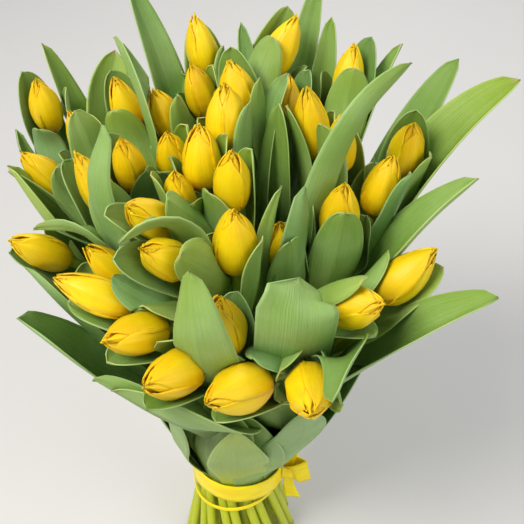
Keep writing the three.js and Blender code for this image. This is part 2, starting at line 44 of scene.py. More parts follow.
# The bunch, in millimetres, as its solids have it
bunch = {
    "tieHeight": 130,
    "ringPitch": 9.9,
    "pairPitch": 7.6,
    "stemRadius": 4.6,
    "spiral": math.radians(32),
    "splay": 1.75,
    "domeCentre": (-3, 12),
    "domeDepth": 1.05,  # how much more the place in depth counts when the rings are filled
    "rings": (1, 6, 12, 18),
}

# Each tulip: where its bud starts (x, y, height), which way it leans and how far from upright,
# and how long and how wide its bud is beside the bloom's length and radius
tulips = [
    (6, -50, 413, 271, 5, 1.05, 1.02),
    (1, -98, 387, 179, 3, 0.95, 0.95),
    (25, -112, 378, 228, 64, 1.08, 1.06),
    (52, -108, 380, 268, 66, 1.02, 1.0),
    (-17, -107, 385, 232, 62, 0.98, 1.0),
    (-39, -82, 392, 225, 62, 0.98, 0.92),
    (67, -72, 399, 318, 50, 0.95, 0.98),
    (102, -50, 385, 15, 44, 1.0, 0.92),
    (74, -12, 403, 300, 5, 1.06, 0.92),
    (102, 14, 408, 350, 10, 1.0, 0.9),
    (126, 55, 414, 287, 11, 0.95, 0.9),
    (62, 52, 428, 144, 10, 1.1, 0.86),
    (41, 80, 430, 80, 10, 0.9, 0.78),
    (85, 98, 446, 60, 12, 0.9, 0.75),
    (27, 112, 460, 20, 25, 1.0, 0.85),
    (11, 72, 446, 150, 14, 0.95, 0.95),
    (-1, 38, 446, 100, 10, 0.95, 1.0),
    (-21, 138, 448, 130, 14, 0.92, 0.8),
    (-19, 104, 430, 170, 14, 0.9, 0.8),
    (-39, 76, 428, 190, 20, 0.92, 0.85),
    (-18, 14, 431, 96, 3, 0.96, 0.92),
    (-39, 46, 416, 250, 12, 0.9, 0.85),
    (3, -12, 434, 281, 8, 1.0, 0.84),
    (-31, -2, 420, 250, 12, 0.85, 0.74),
    (-67, 30, 417, 227, 10, 0.95, 0.8),
    (-73, 84, 430, 170, 14, 0.9, 0.78),
    (-121, 42, 400, 185, 32, 0.98, 0.82),
    (-103, 66, 414, 160, 20, 0.9, 0.72),
    (-139, 96, 423, 234, 7, 0.95, 0.78),
    (-79, -2, 416, 155, 26, 1.05, 0.75),
    (-35, -34, 434, 225, 40, 0.95, 0.84),
    (-25, -66, 432, 228, 42, 0.92, 0.86),
    (-62, -40, 384, 189, 33, 1.02, 0.8),
    (-60, -72, 399, 177, 61, 1.02, 0.86),
    (-113, -14, 388, 216, 44, 1.0, 0.82),
    (37, -22, 392, 240, 10, 0.85, 0.78),
    (78, 26, 436, 120, 6, 0.85, 0.72),
]

# Large leaves: tulip, height above the tie, middle of the blade, tip, width, depth of channel, roll,
# and how blunt the tip is if it is blunt
bigLeaves = [
    (17, 40, (-55, 132, 450), (-79, 160, 515), 41, 0.5, 20),
    (14, 40, (55, 142, 450), (67, 165, 515), 32, 0.6, 0),
    (13, 60, (72, 124, 457), (76, 145, 494), 29, 0.6, 0),
    (25, 30, (-63, 64, 464), (-80, 86, 508), 39, 0.7, 30),
    (25, 30, (-97, 108, 433), (-91, 136, 471), 58, 0.4, -10),
    (28, 40, (-131, 118, 438), (-144, 128, 481), 37, 0.6, 20),
    (28, 40, (-159, 74, 414), (-164, 84, 433), 27, 0.7, 0),
    (26, 30, (-139, 16, 412), (-154, 24, 443), 46, 0.6, 20),
    (29, 50, (-90, -16, 456), (-76, -10, 499), 49, 0.75, 20),
    (12, 60, (15, 104, 450), (7, 128, 498), 24, 0.6, 0),
    (13, 40, (109, 100, 450), (127, 116, 487), 32, 0.6, -20),
    (11, 30, (83, 4, 483), (119, 36, 516), 46, 0.6, -30),
    (10, 30, (144, 90, 432), (169, 110, 478), 44, 0.5, 0),
    (10, 20, (165, 62, 437), (208, 80, 478), 56, 0.7, 0, 3),
    (9, 20, (130, -16, 417), (166, -4, 453), 56, 0.6, 10),
    (7, 20, (130, -80, 388), (170, -78, 417), 54, 0.5, 20),
    (33, 20, (-115, -64, 348), (-142, -60, 378), 64, 0.4, 0, 4),
    (4, 20, (-50, -116, 349), (-84, -108, 373), 49, 0.5, 10),
    (34, 20, (-114, -50, 379), (-137, -36, 402), 32, 0.7, 0),
    (34, 50, (-93, -28, 422), (-132, -16, 420), 29, 0.7, 0),
    (31, 40, (-33, -66, 464), (-60, -84, 467), 41, 0.5, 20),
    (6, 30, (44, -116, 435), (44, -98, 453), 50, 0.16, 0, 40),
    (1, 30, (-14, -126, 429), (-17, -112, 472), 46, 0.4, 0),
    (3, 40, (75, -116, 404), (62, -156, 412), 44, 0.4, 0),
    (12, 50, (37, 44, 442), (35, 52, 476), 40, 0.5, 0),
    (16, 50, (29, 62, 456), (41, 78, 484), 37, 0.5, -20),
    (35, 30, (50, -30, 434), (50, -22, 460), 38, 0.4, 0, 4),
    (35, 30, (29, -34, 437), (35, -26, 464), 28, 0.5, 15),
]

# More large leaves, low in front, that are in the scene alone
moreLeaves = [
    (1, 110, (-30, -122, 344), (-72, -112, 368), 66, 0.4, 0),
    (3, 60, (40, -84, 284), (24, -100, 336), 48, 0.4, 0),
    (2, 24, (11, -62, 209), (5, -96, 319), 64, 0.2, 0),
]

# Leaves cupped round each bud, on the sides with most room: how far the tip passes the bud's base,
# the width, how far below the bud the leaf leaves the stem, and how far outside the first leaf it lies
cuppedLeaves = [
    {"past": 38, "width": 36, "drop": 70, "outside": 0},
    {"past": 22, "width": 34, "drop": 58, "outside": 3.2},
    {"past": 8, "width": 30, "drop": 46, "outside": 6.4},
]
# how far a cupped leaf lies off its stem halfway up and off the bud a little above its base, and how
# much further off at the tip
cupping = {
    "sides": 12,
    "apart": 100,
    "channel": 0.34,
    "offStem": 11,
    "offBud": 2.4,
    "aboveBase": 4,
    "spread": 2.5,
    "roll": 14,
    "ripple": 0.8,
}

# The broad leaves under the ribbon: heights above the tie, and how far outside their stem. Every second
# one is shorter and lies behind the others, in the scene alone
collar = {
    "line": [(-26, 3.4), (-16, 6.9), (8, 8.8), (34, 12.5), (85, 24), (160, 32), (245, 30)],
    "width": 48,
    "channel": 0.18,
    "layer": 4,
    "layeredFrom": 20,
    "innerRise": 0.86,
    "innerBack": 3.5,
    "rise": 0.5,
    "blunt": 1.5,
    "ripple": 0.4,
}


# Where the stems run
def leaning(turn, lean):
    a, b = math.radians(turn), math.radians(lean)
    return Vector((math.cos(a) * math.sin(b), math.sin(a) * math.sin(b), math.cos(b)))


budBase = [Vector(t[:3]) for t in tulips]
budAxis = [leaning(t[3], t[4]) for t in tulips]


def tieSlots():
    cx, cy = bunch["domeCentre"]
    rows = []
    for i, t in enumerate(tulips):
        far = math.hypot(t[0] - cx, (t[1] - cy) * bunch["domeDepth"])
        rows.append((far, math.atan2(t[1] - cy, t[0] - cx), i))
    rows.sort()
    slots = {}
    for ring, count in enumerate(bunch["rings"]):
        members = sorted(rows[:count], key=lambda r: r[1])
        rows = rows[count:]
        radius = ring * bunch["ringPitch"]
        pairTurn = math.asin(bunch["pairPitch"] / 2 / radius) if ring else 0
        turns = [
            (k // 2 + 0.5) * 4 * math.pi / count + (pairTurn if k % 2 else -pairTurn)
            for k in range(count)
        ]
        sx = sum(math.cos(m[1] - a) for m, a in zip(members, turns))
        sy = sum(math.sin(m[1] - a) for m, a in zip(members, turns))
        shift = math.atan2(sy, sx)
        for k, m in enumerate(members):
            turn = turns[k] + shift
            slots[m[2]] = {
                "x": radius * math.cos(turn),
                "y": radius * math.sin(turn),
                "pair": f"{ring}_{k // 2 + 1}",
                "collar": k // 2 + 1 if ring == 3 else None,
                "inner": k % 2 == 0,
            }
    return slots


slots = tieSlots()


def bezier(a, b, c, d, t):
    s = 1 - t
    return a * s**3 + b * (3 * s * s * t) + c * (3 * s * t * t) + d * t**3


# how a stem leaves the tie, and how long it keeps to its bud's line
stemRun = {"outward": 0.25, "upward": 60, "lowPull": 0.42, "highPull": 0.24, "steps": 40, "last": 0.97}


def stemCurve(i):
    slot = slots[i]
    tie = Vector((slot["x"], slot["y"], bunch["tieHeight"]))
    c, s = math.cos(bunch["spiral"]), math.sin(bunch["spiral"])
    foot = Vector((c * tie.x - s * tie.y, s * tie.x + c * tie.y, 0)) * bunch["splay"]
    top = budBase[i]
    reach = (top - tie).length
    out = stemRun["outward"]
    leaving = Vector((tie.x * out, tie.y * out, stemRun["upward"])).normalized()
    low = tie + leaving * reach * stemRun["lowPull"]
    high = top - budAxis[i] * reach * stemRun["highPull"]
    steps = stemRun["steps"]
    points = [bezier(tie, low, high, top, k / steps) for k in range(steps + 1)]
    return {"foot": foot, "tie": tie, "upper": points, "lengths": runLengths(points)}


def runLengths(points):
    total = [0.0]
    for a, b in zip(points, points[1:]):
        total.append(total[-1] + (b - a).length)
    return total


def atShare(points, lengths, share):
    want = max(0.0, min(1.0, share)) * lengths[-1]
    k = 1
    while k < len(points) - 1 and lengths[k] < want:
        k += 1
    return points[k - 1].lerp(points[k], (want - lengths[k - 1]) / (lengths[k] - lengths[k - 1]))


def aheadAt(points, lengths, share, step):
    # which way a run goes at a share of its length
    return (atShare(points, lengths, share + step) - atShare(points, lengths, share - step)).normalized()


curves = [stemCurve(i) for i in range(len(tulips))]


def pointOnStem(i, above):
    upper, lengths = curves[i]["upper"], curves[i]["lengths"]
    if above < 0:
        return curves[i]["tie"].lerp(curves[i]["foot"], -above / bunch["tieHeight"])
    return atShare(upper, lengths, min(stemRun["last"], above / lengths[-1]))


def throughPoints(points, steps=12):
    # a smooth run through a few points, slower where they lie close together
    ends = [points[0] * 2 - points[1]] + list(points) + [points[-1] * 2 - points[-2]]
    run = []
    for k in range(1, len(ends) - 2):
        p0, p1, p2, p3 = ends[k - 1 : k + 3]
        d0, d1, d2 = (max(1e-4, (b - a).length) ** 0.5 for a, b in ((p0, p1), (p1, p2), (p2, p3)))
        m1 = ((p1 - p0) / d0 - (p2 - p0) / (d0 + d1) + (p2 - p1) / d1) * d1
        m2 = ((p2 - p1) / d1 - (p3 - p1) / (d1 + d2) + (p3 - p2) / d2) * d1
        for j in range(steps):
            t = j / steps
            run.append(
                p1 * (2 * t**3 - 3 * t * t + 1) + m1 * (t**3 - 2 * t * t + t)
                + p2 * (3 * t * t - 2 * t**3) + m2 * (t**3 - t * t)
            )
    run.append(points[-1].copy())
    return run


# Materials
def newMaterial(name):
    made = bpy.data.materials.new(name)
    made.use_nodes = True
    tree = made.node_tree
    return made, tree, tree.nodes["Principled BSDF"]


def put(tree, kind, **settings):
    node = tree.nodes.new(kind)
    for key, value in settings.items():
        if hasattr(node, key):
            setattr(node, key, value)
        else:
            node.inputs[key.replace("_", " ")].default_value = value
    return node


def ramp(tree, factor, stops):
    node = tree.nodes.new("ShaderNodeValToRGB")
    band = node.color_ramp
    while len(band.elements) < len(stops):
        band.elements.new(0.5)
    for element, (place, color) in zip(band.elements, stops):
        element.position = place
        element.color = (*color, 1)
    tree.links.new(factor, node.inputs[0])
    return node.outputs["Color"]


def greys(tree, factor, *stops):
    # a ramp of greys: each stop is a place and how bright it is
    return ramp(tree, factor, [(place, (bright, bright, bright)) for place, bright in stops])


def sums(tree, operation, a, b):
    node = put(tree, "ShaderNodeMath", operation=operation)
    for socket, value in zip(node.inputs, (a, b)):
        if isinstance(value, (int, float)):
            socket.default_value = value
        else:
            tree.links.new(value, socket)
    return node.outputs[0]


def blendColors(tree, factor, a, b, how="MIX"):
    node = put(tree, "ShaderNodeMix", data_type="RGBA", blend_type=how)
    for socket, value in ((node.inputs[0], factor), (node.inputs[6], a), (node.inputs[7], b)):
        if isinstance(value, (int, float, tuple)):
            socket.default_value = (*value, 1) if isinstance(value, tuple) else value
        else:
            tree.links.new(value, socket)
    return node.outputs[2]


def stained(tree, color, stain, mask, amount):
    # the colour with a stain over it where the mask is bright
    return blendColors(tree, sums(tree, "MULTIPLY", mask, amount), color, stain)


def objectPlace(tree):
    return tree.nodes.new("ShaderNodeTexCoord").outputs["Object"]


def splitUp(tree, kind, value):
    node = tree.nodes.new(kind)
    tree.links.new(value, node.inputs[0])
    return node.outputs


def bladeValues(tree):
    # a blade's own map, how far a point lies from the midrib (0.5 at the edge), how far along it,
    # and the blade's two random tones
    uv = tree.nodes.new("ShaderNodeUVMap").outputs[0]
    across, along, _ = splitUp(tree, "ShaderNodeSeparateXYZ", uv)
    off = sums(tree, "ABSOLUTE", sums(tree, "SUBTRACT", across, 0.5), 0)
    tone = put(tree, "ShaderNodeAttribute", attribute_name="tone").outputs["Color"]
    shade, hue, _ = splitUp(tree, "ShaderNodeSeparateColor", tone)
    return uv, off, along, shade, hue


def noiseAt(tree, vector, stretch, detail=3.0, rough=0.55):
    mapping = tree.nodes.new("ShaderNodeMapping")
    mapping.inputs["Scale"].default_value = stretch
    tree.links.new(vector, mapping.inputs["Vector"])
    noise = put(tree, "ShaderNodeTexNoise", Scale=1.0, Detail=detail, Roughness=rough)
    tree.links.new(mapping.outputs[0], noise.inputs["Vector"])
    return noise.outputs["Fac"]


def bumpFrom(tree, shader, height, strength, distance):
    bump = put(tree, "ShaderNodeBump", Strength=strength, Distance=distance)
    tree.links.new(height, bump.inputs["Height"])
    tree.links.new(bump.outputs[0], shader.inputs["Normal"])


petalLook = {
    "base": (0.74, 0.62, 0.03),
    "low": (0.90, 0.58, 0.003),
    "full": (0.96, 0.71, 0.003),
    "tip": (0.94, 0.66, 0.003),
    "deep": (0.88, 0.46, 0.002),
    "green": (0.50, 0.56, 0.06),
    "rim": (0.80, 0.40, 0.004),
    "dimmest": (0.86, 0.8, 0.8),
    "streaked": 0.5,
    "clouded": 0.45,
    "rimmed": 0.7,
    "glow": 0.12,
    "glowReach": (0.004, 0.0025, 0.0005),
    "specular": 0.35,
    "ribs": 0.35,
    "ribHeight": 0.0006,
}


def petalMaterial():
    look = petalLook
    made, tree, shader = newMaterial("yellow petal")
    uv, off, along, shade, hue = bladeValues(tree)
    color = ramp(tree, along, [(0, look["base"]), (0.1, look["low"]), (0.4, look["full"]), (1, look["tip"])])
    streaks = noiseAt(tree, uv, (34, 1.6, 1), 4)
    color = stained(tree, color, look["deep"], greys(tree, streaks, (0.42, 0), (0.75, 1)), look["streaked"])
    clouds = noiseAt(tree, objectPlace(tree), (60, 60, 60), 2)
    color = stained(tree, color, look["deep"], greys(tree, clouds, (0.4, 0), (0.8, 1)), look["clouded"])
    # a green flush up the midrib of some petals, strongest low down
    ribbing = greys(tree, off, (0, 1), (0.13, 0.25), (0.22, 0))
    fading = greys(tree, along, (0.05, 1), (0.75, 0))
    flushed = greys(tree, hue, (0.45, 0), (0.9, 0.85))
    color = stained(tree, color, look["green"], sums(tree, "MULTIPLY", ribbing, fading), flushed)
    # a fine darker rim, broken up
    edge = greys(tree, off, (0.476, 0), (0.494, 1))
    worn = greys(tree, noiseAt(tree, uv, (3, 9, 1), 3), (0.42, 0), (0.62, 1))
    color = stained(tree, color, look["rim"], sums(tree, "MULTIPLY", edge, worn), look["rimmed"])
    dim = ramp(tree, shade, [(0, look["dimmest"]), (1, (1, 1, 1))])
    tree.links.new(blendColors(tree, 1.0, color, dim, "MULTIPLY"), shader.inputs["Base Color"])
    tree.links.new(greys(tree, streaks, (0.3, 0.36), (0.8, 0.52)), shader.inputs["Roughness"])
    shader.inputs["Subsurface Weight"].default_value = look["glow"]
    shader.inputs["Subsurface Radius"].default_value = look["glowReach"]
    shader.inputs["Subsurface Scale"].default_value = 1.0
    shader.inputs["Specular IOR Level"].default_value = look["specular"]
    bumpFrom(tree, shader, noiseAt(tree, uv, (70, 2.2, 1), 3), look["ribs"], look["ribHeight"])
    return made


leafLook = {
    "upper": {
        "body": (0.14, 0.29, 0.05),
        "bloom": (0.27, 0.42, 0.15),
        "young": (0.38, 0.50, 0.02),
        "edge": (0.48, 0.60, 0.22),
    },
    "under": {
        "body": (0.21, 0.38, 0.08),
        "bloom": (0.35, 0.51, 0.20),
        "young": (0.44, 0.55, 0.03),
        "edge": (0.52, 0.64, 0.28),
    },
    "vein": (0.10, 0.22, 0.04),
    "tipBrown": (0.50, 0.46, 0.20),
    "bluish": (0.72, 0.82, 0.9),
    "plain": (0.9, 0.95, 0.92),
    "yellowish": (1.08, 1.04, 0.8),
    "veined": 0.4,
    "lined": 0.35,
    "youngest": 0.25,
    "edged": 0.6,
    "waxHeight": 0.6,
    "ribs": 0.55,
    "ribHeight": 0.0011,
}


def leafMaterial(name, look):
    made, tree, shader = newMaterial(name)
    uv, off, along, shade, hue = bladeValues(tree)
    veins = noiseAt(tree, uv, (55, 1.2, 1), 3, 0.6)
    lines = noiseAt(tree, uv, (120, 0.8, 1), 1, 0.5)
    wax = noiseAt(tree, objectPlace(tree), (28, 28, 28), 4)
    color = blendColors(tree, greys(tree, wax, (0.38, 0), (0.66, 0.9)), look["body"], look["bloom"])
    color = stained(tree, color, look["bloom"], greys(tree, veins, (0.4, 0), (0.66, 1)), leafLook["veined"])
    between = greys(tree, lines, (0.52, 0), (0.68, 1))
    color = stained(tree, color, leafLook["vein"], between, leafLook["lined"])
    # yellower towards the foot, and a little at the tip
    young = greys(tree, along, (0, 1), (0.3, 0.55), (0.6, 0.1), (0.97, 0.4))
    color = stained(tree, color, look["young"], young, sums(tree, "ADD", hue, leafLook["youngest"]))
    color = stained(tree, color, look["edge"], greys(tree, off, (0.478, 0), (0.496, 1)), leafLook["edged"])
    # the very tip of some leaves is brown
    atTip = greys(tree, along, (0.975, 0), (0.997, 0.7))
    color = stained(tree, color, leafLook["tipBrown"], atTip, greys(tree, shade, (0.5, 0), (0.7, 1)))
    tints = [(0, leafLook["bluish"]), (0.5, leafLook["plain"]), (1, leafLook["yellowish"])]
    color = blendColors(tree, 1.0, color, ramp(tree, shade, tints), "MULTIPLY")
    tree.links.new(color, shader.inputs["Base Color"])
    tree.links.new(greys(tree, wax, (0.3, 0.42), (0.75, 0.6)), shader.inputs["Roughness"])
    relief = sums(tree, "ADD", lines, sums(tree, "MULTIPLY", wax, leafLook["waxHeight"]))
    bumpFrom(tree, shader, relief, leafLook["ribs"], leafLook["ribHeight"])
    return made


stemLook = {
    "cut": (0.60, 0.66, 0.30),
    # painted reflection: the low colour is yellower than the stems' own green, standing in for yellow light
    # reflected onto the lower stems
    "low": (0.52, 0.57, 0.015),
    "high": (0.34, 0.47, 0.05),
    "streak": (0.34, 0.44, 0.02),
    "perMetre": 2.2,  # the stems' height in metres times this runs from 0 to about 1
    "streaked": 0.35,
    "specular": 0.3,
    "ribs": 0.3,
    "ribHeight": 0.0005,
}


def stemMaterial():
    look = stemLook
    made, tree, shader = newMaterial("tulip stem")
    place = objectPlace(tree)
    height = sums(tree, "MULTIPLY", splitUp(tree, "ShaderNodeSeparateXYZ", place)[2], look["perMetre"])
    # the lower stems take the yellower colour, painted yellow reflected light, fading to the stems' own
    # green higher up
    stops = [(0.001, look["cut"]), (0.004, look["low"]), (0.5, look["low"]), (0.95, look["high"])]
    streaks = noiseAt(tree, place, (900, 900, 14), 3)
    masked = greys(tree, streaks, (0.4, 0), (0.7, 1))
    color = stained(tree, ramp(tree, height, stops), look["streak"], masked, look["streaked"])
    tree.links.new(color, shader.inputs["Base Color"])
    tree.links.new(greys(tree, streaks, (0.3, 0.36), (0.8, 0.5)), shader.inputs["Roughness"])
    shader.inputs["Specular IOR Level"].default_value = look["specular"]
    bumpFrom(tree, shader, streaks, look["ribs"], look["ribHeight"])
    return made


ribbonLook = {
    "lit": (0.98, 0.80, 0.001),
    # painted shade: the darker colour the ribbon takes in its folds
    "fold": (0.94, 0.68, 0.001),
    "specular": 0.25,
    "weave": 0.3,
    "crease": 0.35,
    "creaseHeight": 0.0012,
}


def ribbonMaterial():
    look = ribbonLook
    made, tree, shader = newMaterial("yellow ribbon")
    uv = tree.nodes.new("ShaderNodeUVMap").outputs[0]
    # one noise pattern gives both the painted shade of the folds and the ribbon's crease bump
    creaseShadeAndRelief = noiseAt(tree, objectPlace(tree), (55, 55, 120), 3)
    weave = noiseAt(tree, uv, (500, 8, 1), 2)
    # painted shade: where the crease pattern is high the ribbon takes the darker fold colour
    color = blendColors(tree, greys(tree, creaseShadeAndRelief, (0.4, 0), (0.7, 1)), look["lit"], look["fold"])
    tree.links.new(color, shader.inputs["Base Color"])
    tree.links.new(greys(tree, weave, (0.3, 0.26), (0.7, 0.42)), shader.inputs["Roughness"])
    shader.inputs["Specular IOR Level"].default_value = look["specular"]
    relief = sums(tree, "ADD", sums(tree, "MULTIPLY", weave, look["weave"]), creaseShadeAndRelief)
    bumpFrom(tree, shader, relief, look["crease"], look["creaseHeight"])
    return made


petalYellow = petalMaterial()
leafUpper = leafMaterial("leaf upper side", leafLook["upper"])
leafUnder = leafMaterial("leaf under side", leafLook["under"])
stemGreen = stemMaterial()
ribbonYellow = ribbonMaterial()
print("materials made")


# What every piece is finished with
def finishPiece(name, bm, materials, nodes, solid=None):
    mesh = bpy.data.meshes.new(name)
    bmesh.ops.scale(bm, vec=(mm, mm, mm), verts=bm.verts)
    bm.to_mesh(mesh)
    bm.free()
    for material in materials:
        mesh.materials.append(material)
    for face in mesh.polygons:
        face.use_smooth = True
    piece = bpy.data.objects.new(name, mesh)
    bpy.context.collection.objects.link(piece)
    if solid:
        shell = piece.modifiers.new("thickness", "SOLIDIFY")
        shell.thickness = solid["thick"] * mm
        shell.offset = solid.get("offset", 0)
        shell.material_offset = solid.get("back", 0)
        shell.use_rim = True
    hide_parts(*nodes)
    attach(piece, "root")
    return piece


def addSheet(bm, across, along, shape, tone=(0.5, 0.5, 0.5), pointed=True):
    # a flat grid pulled into the blade or petal that shape(u, t) gives, u from -1 to 1 and t from 0 to 1
    sheet = bmesh.new()
    bmesh.ops.create_grid(sheet, x_segments=across, y_segments=along, size=1, calc_uvs=False)
    uvLayer = sheet.loops.layers.uv.new("UVMap")
    toneLayer = sheet.loops.layers.float_color.new("tone")
    for face in sheet.faces:
        for loop in face.loops:
            loop[uvLayer].uv = (loop.vert.co.x * 0.5 + 0.5, loop.vert.co.y * 0.5 + 0.5)
            loop[toneLayer] = (*tone, 1)
    for vert in sheet.verts:
        vert.co = shape(vert.co.x, vert.co.y * 0.5 + 0.5)
    if pointed:
        bmesh.ops.remove_doubles(sheet, verts=sheet.verts, dist=0.02)
    part = bpy.data.meshes.new("part")
    sheet.to_mesh(part)
    sheet.free()
    bm.from_mesh(part)
    bpy.data.meshes.remove(part)


# Blooms: three petals outside and three between them
bloom = {
    "petals": 6,
    "length": 53,
    "radius": 13.6,
    "outerHalfTurn": 66,
    "innerHalfTurn": 60,
    "lap": 0.9,
    "thick": 0.8,
    "across": 12,
    "along": 22,
    "foot": 0.62,  # how wide a petal is at its foot, as a share of its widest
    "footEnds": 0.25,
    "narrowsFrom": 0.68,
    "pointed": 2.3,
    "turnEach": 47,  # degrees that each bud's petals are turned from those of the last
    "edgeOff": 0.9,  # how far the edges of the outer petals stand off
    "edgeIn": 0.8,  # and how far those of the inner ones are tucked in
    "keel": 0.6,
    "keelWidth": 0.15,
    "flat": 0.04,
    "ripple": 0.5,
    "fold": 0.28,
    "dip": 1.4,
    "seed": 100,
}
# what closes the bud inside, so that no gap between petals shows through it
budCore = {
    "across": 18,
    "along": 12,
    "girth": 0.86,
    "taper": 0.1,
    "tall": 0.93,
    "fold": 0.1,
    "tone": (0.2, 0, 0.5),
}
# the bud's radius up its length, as shares of the widest and of the whole length
profile = [
    (0, 0.32), (0.05, 0.55), (0.14, 0.79), (0.28, 0.95), (0.42, 1.0),
    (0.56, 0.94), (0.69, 0.79), (0.80, 0.60), (0.90, 0.37), (0.96, 0.20), (1.0, 0.08),
]


def budRadius(t):
    k = 1
    while k < len(profile) - 1 and profile[k][0] < t:
        k += 1
    (t0, r0), (t1, r1) = profile[k - 1], profile[k]
    return r0 + (r1 - r0) * (t - t0) / (t1 - t0)


def petalWidth(t):
    # full round the bud, then drawn in to a point
    low = bloom["foot"] + (1 - bloom["foot"]) * min(1, t / bloom["footEnds"])
    start = bloom["narrowsFrom"]
    return low if t < start else low * max(0.0, 1 - ((t - start) / (1 - start)) ** bloom["pointed"])


def makeBloom(i):
    turn, size, girth = tulips[i][3], tulips[i][5], tulips[i][6]
    rng = random.Random(bloom["seed"] + i)
    radius, length = bloom["radius"] * girth, bloom["length"] * size
    spin = math.radians(turn + i * bloom["turnEach"])
    loose = rng.uniform(-0.03, 0.05)
    turnTo = budAxis[i].to_track_quat("Z", "Y").to_matrix()
    flush = rng.random()

    def inPlace(angle, r, rise):
        return budBase[i] + turnTo @ Vector((r * math.cos(angle), r * math.sin(angle), rise))

    bm = bmesh.new()
    for k in range(bloom["petals"]):
        outer = k % 2 == 0
        centre = spin + math.radians(360 / bloom["petals"] * k)
        half = math.radians(bloom["outerHalfTurn" if outer else "innerHalfTurn"])
        tall = length * (rng.uniform(0.93, 0.99) if outer else rng.uniform(0.97, 1.02))
        lap = bloom["lap"] if outer else -bloom["lap"]
        edge = bloom["edgeOff"] if outer else -bloom["edgeIn"]
        flare = loose + rng.uniform(-0.04, 0.08) if outer else loose * 0.5
        phase = rng.uniform(0, anyPhase)
        skew = rng.uniform(-0.1, 0.1)
        torn = rng.uniform(0, 1.3)

        def petal(u, t):
            angle = centre + u * half * petalWidth(t) + skew * t
            r = radius * (budRadius(t) + flare * max(0, t - 0.45) * 1.5)
            r += lap * min(1, t * 6)
            r += edge * abs(u) ** 4 * min(1, t * 3)
            r += bloom["keel"] * math.exp(-((u / bloom["keelWidth"]) ** 2)) * min(1, t * 3)
            r -= radius * bloom["flat"] * u * u * (1 - t)
            r += bloom["ripple"] * math.sin(8 * t + 3.5 * u + phase) * u * u
            r += bloom["fold"] * math.sin(10 * u + 4 * t + 2 * phase) * min(1, t * 2)  # runs lengthwise
            r += torn * math.sin(9 * u + phase) * max(0, t - 0.72)
            rise = tall * t - bloom["dip"] * u * u * t
            rise += torn * math.sin(11 * u + 2 * phase) * max(0, t - 0.6) * 2
            return inPlace(angle, max(0.3, r), rise)

        tone = (rng.random(), min(1, max(0, flush + rng.uniform(-0.15, 0.15))), rng.random())
        addSheet(bm, bloom["across"], bloom["along"], petal, tone)

    def core(u, t):
        r = radius * budRadius(t) * (budCore["girth"] - budCore["taper"] * t)
        fold = 1 + budCore["fold"] * math.sin(3 * math.pi * u + 1) * t
        return inPlace(spin + math.pi * u, r * fold, length * budCore["tall"] * t)

    addSheet(bm, budCore["across"], budCore["along"], core, budCore["tone"])
    solid = {"thick": bloom["thick"], "offset": -1}
    return finishPiece(f"bloom{i + 1:02d}", bm, [petalYellow], [f"bloom_{i + 1:02d}"], solid)


for i in range(len(tulips)):
    makeBloom(i)
print("blooms made:", len(tulips))

# Stems
stemShape = {
    "sides": 14,
    "rings": 26,
    "rows": 34,
    "round": 0.94,
    "neck": 0.86,  # how thick a stem is under its bud, as a share of the rest
    "neckFrom": 0.6,
    "intoBud": 0.6,
}


def stemLine(i):
    # from the foot to just inside the bud
    foot, tie, upper, lengths = (curves[i][key] for key in ("foot", "tie", "upper", "lengths"))
    rings = stemShape["rings"]
    line = [foot, foot.lerp(tie, 0.35), foot.lerp(tie, 0.7)]
    line += [atShare(upper, lengths, k / rings) for k in range(rings + 1)]
    line[-1] = line[-1] + budAxis[i] * stemShape["intoBud"]
    return line


def makeStems(pair, members):
    bm = bmesh.new()
    neckFrom = stemShape["neckFrom"]
    for i in members:
        run = stemLine(i)
        lengths = runLengths(run)

        def shape(u, t):
            centre = atShare(run, lengths, t)
            ahead = aheadAt(run, lengths, t, 0.02)
            if t < 0.001:
                ahead = Vector((0, 0, 1))  # the foot is cut level
            side = Vector((1, 0, 0)) - ahead * ahead.x
            side.normalize()
            other = ahead.cross(side)
            thinner = (1 - stemShape["neck"]) * max(0, t - neckFrom) / (1 - neckFrom)
            radius = bunch["stemRadius"] * stemShape["round"] * (1 - thinner)
            angle = math.pi * u
            return centre + (side * math.cos(angle) + other * math.sin(angle)) * radius

        addSheet(bm, stemShape["sides"], stemShape["rows"], shape)
    bmesh.ops.holes_fill(bm, edges=[e for e in bm.edges if e.is_boundary], sides=0)
    bmesh.ops.recalc_face_normals(bm, faces=bm.faces)
    name = f"stems{pair.replace('_', 'of')}"
    return finishPiece(name, bm, [stemGreen], [f"leafy_stems_{pair}"])


pairs = {}
for i in range(len(tulips)):
    pairs.setdefault(slots[i]["pair"], []).append(i)
for pair, members in sorted(pairs.items()):
    makeStems(pair, members)
print("stems made:", len(pairs), "groups")

# Leaves
blade = {
    "across": 14,
    "along": 40,
    "thick": 0.75,
    "foot": 0.14,  # how wide a leaf is at its foot, as a share of its widest
    "widestAt": 0.6,
    "rootSink": 3.4,
    "offStem": 11,
    "nextAbove": 60,
    "faceUp": 0.55,
    "crease": 0.65,  # how much of the blade's rise is in the crease, the rest being in its edges
    "closer": 0.045,
    "seed": 500,
}
# how a blade keeps clear of the buds: how far off it stays, how near a bud has to be, from where to
# where beside it, as shares of its length, and how deep inside it the blade is still pushed out
clearing = {"gap": 2.5, "near": 80, "from": -0.15, "to": 1.12, "deepest": 6}


def leafWidth(t, rise=1, blunt=2):
    widest = blade["widestAt"]
    if t < widest:
        return blade["foot"] + (1 - blade["foot"]) * math.sin(math.pi / 2 * t / widest) ** rise
    return max(0.0, 1 - ((t - widest) / (1 - widest)) ** blunt) ** (0.5 if blunt >= 2 else 0.85)


def creased(u):
    # how far the blade stands up from its midrib: a soft crease, then nearly straight sides
    soft = math.sqrt(u * u + 0.012) - 0.11
    return soft * blade["crease"] + (1 - blade["crease"]) * abs(u) ** 2.2


